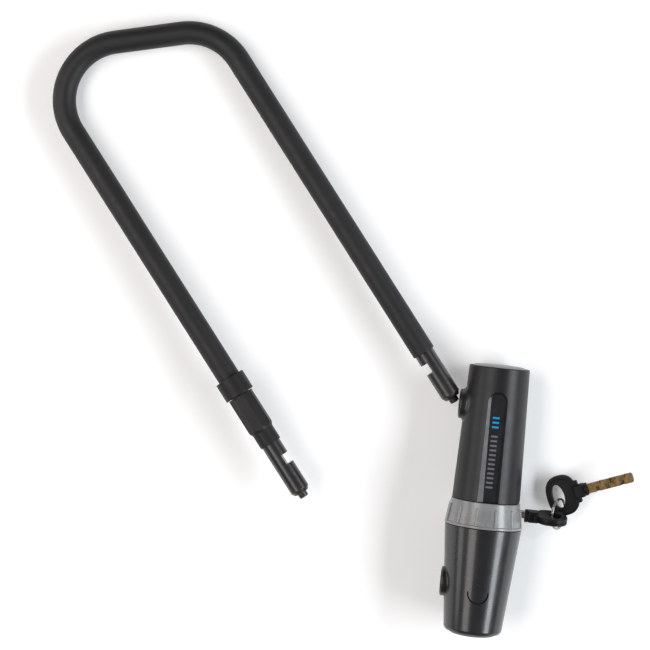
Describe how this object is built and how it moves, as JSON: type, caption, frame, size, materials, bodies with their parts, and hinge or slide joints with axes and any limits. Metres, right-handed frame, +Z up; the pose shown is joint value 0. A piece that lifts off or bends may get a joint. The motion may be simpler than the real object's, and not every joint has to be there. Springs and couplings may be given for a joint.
{
  "type": "u lock",
  "caption": "Long-shackle bicycle U lock lying open: sleeved bent bar, tapered crossbar with round sockets and a ribbed dust ring, key in its cylinder, spare key on a split ring.",
  "frame": {"origin": "on the table, under the middle of the whole open lock's bounding box", "axes": "+Z up from the table, +Y along the crossbar towards its upper end, -X the side that the sockets face"},
  "size_m": [0.4344, 0.4072, 0.0544],
  "materials": {
    "satin_cover": "satin black with a fine grain",
    "gloss_cover": "glossier black",
    "inlay": "gloss black",
    "ring_plastic": "translucent grey",
    "cap_plastic": "satin",
    "tube_steel": "hardened steel",
    "bar_steel": "black, rubbed at the edges",
    "bar_sleeve": "soft matt",
    "adapter_plastic": "matt",
    "seal_rubber": "matt",
    "zinc": "die cast",
    "pin_steel": "ground",
    "brass": "machined",
    "key_plastic": "satin black",
    "wire": "nickel"
  },
  "bodies": {
    "crossbar": {"upper_sleeve": "satin_cover", "lower_sleeve": "gloss_cover", "crossbar_tube": "tube_steel", "inlay_strip": "inlay", "upper_end_cap": "cap_plastic", "lower_end_cap": "cap_plastic", "upper_socket_boss": "satin_cover", "lower_socket_boss": "satin_cover", "upper_socket_seal": "seal_rubber", "lower_socket_seal": "seal_rubber", "upper_guide": "zinc", "lower_guide": "zinc", "upper_guide_pin": "pin_steel", "lower_guide_pin": "pin_steel", "cylinder_housing": "zinc", "cylinder_screw": "pin_steel"},
    "shackle": {"shackle_bar": "bar_steel", "shackle_sleeve": "bar_sleeve", "adapter_collar": "adapter_plastic", "bracket_adapter": "adapter_plastic"},
    "dust_ring": {"dust_ring": "ring_plastic"},
    "lock_core": {"cylinder_core": "brass", "keyway_plate": "pin_steel", "side_bar": "pin_steel", "drive_cam": "pin_steel", "lock_disc_1": "brass", "lock_disc_2": "brass", "lock_disc_3": "brass", "lock_disc_4": "brass", "lock_disc_5": "brass", "lock_disc_6": "brass", "lock_disc_7": "brass"},
    "upper_bolt": {"upper_bolt": "pin_steel"},
    "lower_bolt": {"lower_bolt": "pin_steel"},
    "key": {"key_blade": "brass", "key_bow": "key_plastic"},
    "key_ring": {"split_ring": "wire"},
    "spare_key": {"spare_key_blade": "brass", "spare_key_bow": "key_plastic"}
  },
  "joints": [
    {"name": "shackle_swing", "type": "hinge", "parent": "crossbar", "child": "shackle", "pos_m": [0.0875, -0.04112, 0.02251], "axis": [-0.0061, 0.0546, 0.9985], "range_deg": [0, 51.7]},
    {"name": "key_turn", "type": "hinge", "parent": "crossbar", "child": "lock_core", "pos_m": [0.11459, -0.1161, 0.02677], "axis": [1, 0.0003, 0.0061], "range_deg": [0, 90]},
    {"name": "upper_bolt_slide", "type": "slide", "parent": "crossbar", "child": "upper_bolt", "axis": [0, 0.9985, -0.0546], "range_m": [0, 0.00848]},
    {"name": "lower_bolt_slide", "type": "slide", "parent": "crossbar", "child": "lower_bolt", "axis": [0, -0.9985, 0.0546], "range_m": [0, 0.0086]},
    {"name": "dust_ring_turn", "type": "hinge", "parent": "crossbar", "child": "dust_ring", "pos_m": [0.11459, -0.10751, 0.0263], "axis": [0, -0.9985, 0.0546], "range_deg": [0, 20]},
    {"name": "key_slide", "type": "slide", "parent": "lock_core", "child": "key", "axis": [1, 0.0003, 0.0061], "range_m": [0, 0.034]},
    {"name": "key_ring_swing", "type": "hinge", "parent": "key", "child": "key_ring", "pos_m": [0.16233, -0.11442, 0.02094], "axis": [0, 0.9985, -0.0546], "range_deg": [-25, 25]},
    {"name": "spare_key_swing", "type": "hinge", "parent": "key_ring", "child": "spare_key", "pos_m": [0.16955, -0.10517, 0.00808], "axis": [-0.5053, 0.0471, 0.8617], "range_deg": [-6, 36]}
  ],
  "couplings": [
    {"joint": "key_turn", "follows": "upper_bolt_slide", "rad_per_m": 185.19},
    {"joint": "lower_bolt_slide", "follows": "upper_bolt_slide", "ratio": 1}
  ]
}
